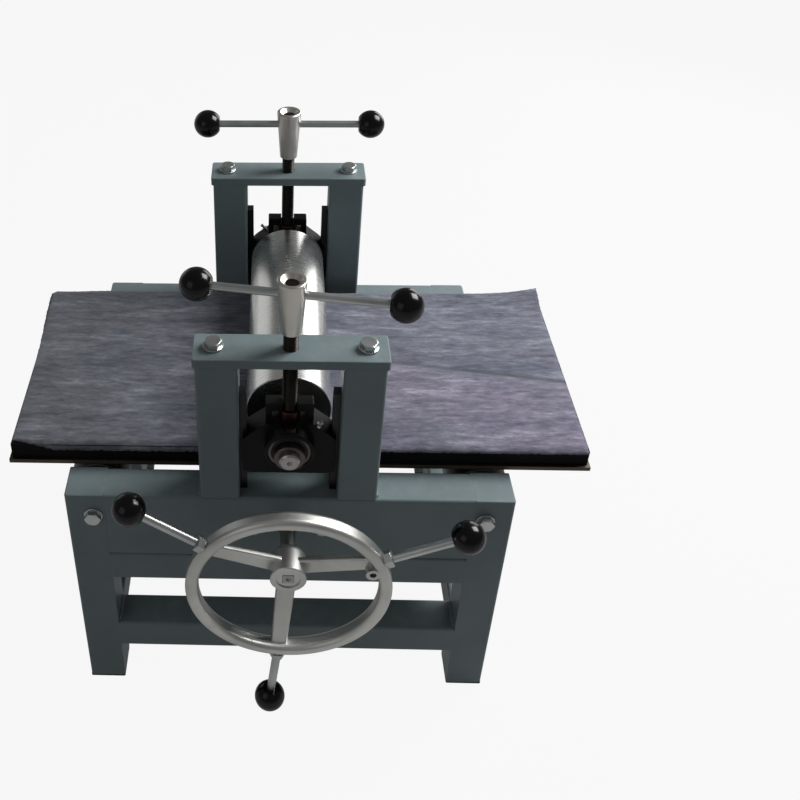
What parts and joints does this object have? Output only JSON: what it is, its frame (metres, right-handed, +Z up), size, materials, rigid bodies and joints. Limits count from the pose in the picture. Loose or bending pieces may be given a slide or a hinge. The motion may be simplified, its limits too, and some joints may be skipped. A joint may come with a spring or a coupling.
{
  "type": "bench roller press",
  "caption": "Hand-cranked bench press that rolls a felt-covered bed between a driven lower roller and a screw-loaded upper roller.",
  "frame": {"origin": "on the floor, under the middle of the machine's bounding box at rest", "axes": "+X along the bed to the right, +Y to the rear, +Z up; the handwheel is at the front, at -Y"},
  "size_m": [0.752, 0.608, 0.704],
  "materials": {
    "frame_paint": "satin paint, dark green-grey",
    "foot_plastic": "matt black",
    "raw_steel": "plain turned or sawn steel",
    "dark_steel": "oiled, nearly black",
    "zinc_steel": "zinc plated",
    "black_iron": "painted black",
    "bearing_steel": "ground bearing steel",
    "roller_steel": "turned and polished",
    "shaft_steel": "ground",
    "head_steel": "turned",
    "wheel_aluminium": "cast and polished",
    "knob_plastic": "glossy black",
    "bronze": "dull bronze",
    "bed_steel": "rolled steel, brownish",
    "board_plastic": "matt black",
    "felt": "pressed wool felt, grey"
  },
  "bodies": {
    "frame": {"leg_front_left": "frame_paint", "leg_front_right": "frame_paint", "leg_rear_left": "frame_paint", "leg_rear_right": "frame_paint", "front_top_rail": "frame_paint", "rear_top_rail": "frame_paint", "front_lower_rail": "frame_paint", "rear_lower_rail": "frame_paint", "front_stretcher": "frame_paint", "rear_stretcher": "frame_paint", "left_side_rail": "frame_paint", "right_side_rail": "frame_paint", "side_stretchers": "frame_paint", "leg_feet": "foot_plastic", "post_front_left": "frame_paint", "post_front_right": "frame_paint", "post_rear_left": "frame_paint", "post_rear_right": "frame_paint", "front_bridge": "frame_paint", "rear_bridge": "frame_paint", "guide_strips": "dark_steel", "post_top_plates": "raw_steel", "bridge_bolts": "zinc_steel", "bolt_washers": "zinc_steel", "idler_axles": "raw_steel", "axle_bolts": "zinc_steel", "flange_housings": "black_iron", "lower_bearing_outer_rings": "bearing_steel", "flange_bolts": "zinc_steel", "flange_nuts": "zinc_steel"},
    "drive": {"lower_roller": "roller_steel", "drive_shaft": "shaft_steel", "lower_bearing_inner_rings": "bearing_steel", "handwheel": "wheel_aluminium", "hub_set_screw": "zinc_steel", "handle_bars": "zinc_steel", "handle_nuts": "zinc_steel", "handle_knobs": "knob_plastic"},
    "bed": {"bed_plate": "bed_steel", "bed_board": "board_plastic", "felt_blanket": "felt"},
    "left_idler": {"left_idler_roller": "dark_steel"},
    "right_idler": {"right_idler_roller": "dark_steel"},
    "carriage": {"front_bearing_housing": "black_iron", "rear_bearing_housing": "black_iron", "upper_bearing_outer_rings": "bearing_steel", "grease_nipples": "bronze"},
    "top_roller": {"upper_roller": "roller_steel", "upper_shaft": "shaft_steel", "upper_bearing_inner_rings": "bearing_steel"},
    "front_screw": {"front_screw": "dark_steel", "front_screw_button": "bronze", "front_screw_head": "head_steel", "front_cross_rod": "zinc_steel", "front_rod_knobs": "knob_plastic"},
    "rear_screw": {"rear_screw": "dark_steel", "rear_screw_button": "bronze", "rear_screw_head": "head_steel", "rear_cross_rod": "zinc_steel", "rear_rod_knobs": "knob_plastic"}
  },
  "joints": [
    {"name": "drive_turn", "type": "hinge", "parent": "frame", "child": "drive", "pos_m": [-0.0115, 0.0425, 0.3317], "axis": [0, 1, 0], "range_deg": [-240, 240]},
    {"name": "bed_slide", "type": "slide", "parent": "frame", "child": "bed", "axis": [1, 0, 0], "range_m": [-0.2265, 0.2265]},
    {"name": "left_idler_spin", "type": "hinge", "parent": "frame", "child": "left_idler", "pos_m": [-0.2615, 0.0425, 0.3477], "axis": [0, 1, 0], "range_deg": [-345, 345]},
    {"name": "right_idler_spin", "type": "hinge", "parent": "frame", "child": "right_idler", "pos_m": [0.2385, 0.0425, 0.3477], "axis": [0, 1, 0], "range_deg": [-345, 345]},
    {"name": "front_screw_turn", "type": "hinge", "parent": "carriage", "child": "front_screw", "pos_m": [-0.0115, -0.165, 0.684], "axis": [0, 0, 1], "range_deg": [-1, 2161]},
    {"name": "rear_screw_turn", "type": "hinge", "parent": "carriage", "child": "rear_screw", "pos_m": [-0.0115, 0.25, 0.684], "axis": [0, 0, 1], "range_deg": [-1, 2161]},
    {"name": "carriage_lift", "type": "slide", "parent": "frame", "child": "carriage", "axis": [0, 0, 1], "range_m": [0, 0.015]},
    {"name": "top_roller_spin", "type": "hinge", "parent": "carriage", "child": "top_roller", "pos_m": [-0.0115, 0.0425, 0.4738], "axis": [0, 1, 0], "range_deg": [-245, 245]}
  ],
  "couplings": [
    {"joint": "bed_slide", "follows": "drive_turn", "m_per_rad": 0.054},
    {"joint": "left_idler_spin", "follows": "drive_turn", "ratio": 1.4211},
    {"joint": "right_idler_spin", "follows": "drive_turn", "ratio": 1.4211},
    {"joint": "top_roller_spin", "follows": "drive_turn", "ratio": -1},
    {"joint": "front_screw_turn", "follows": "carriage_lift", "rad_per_m": 2513.3},
    {"joint": "rear_screw_turn", "follows": "carriage_lift", "rad_per_m": 2513.3}
  ]
}
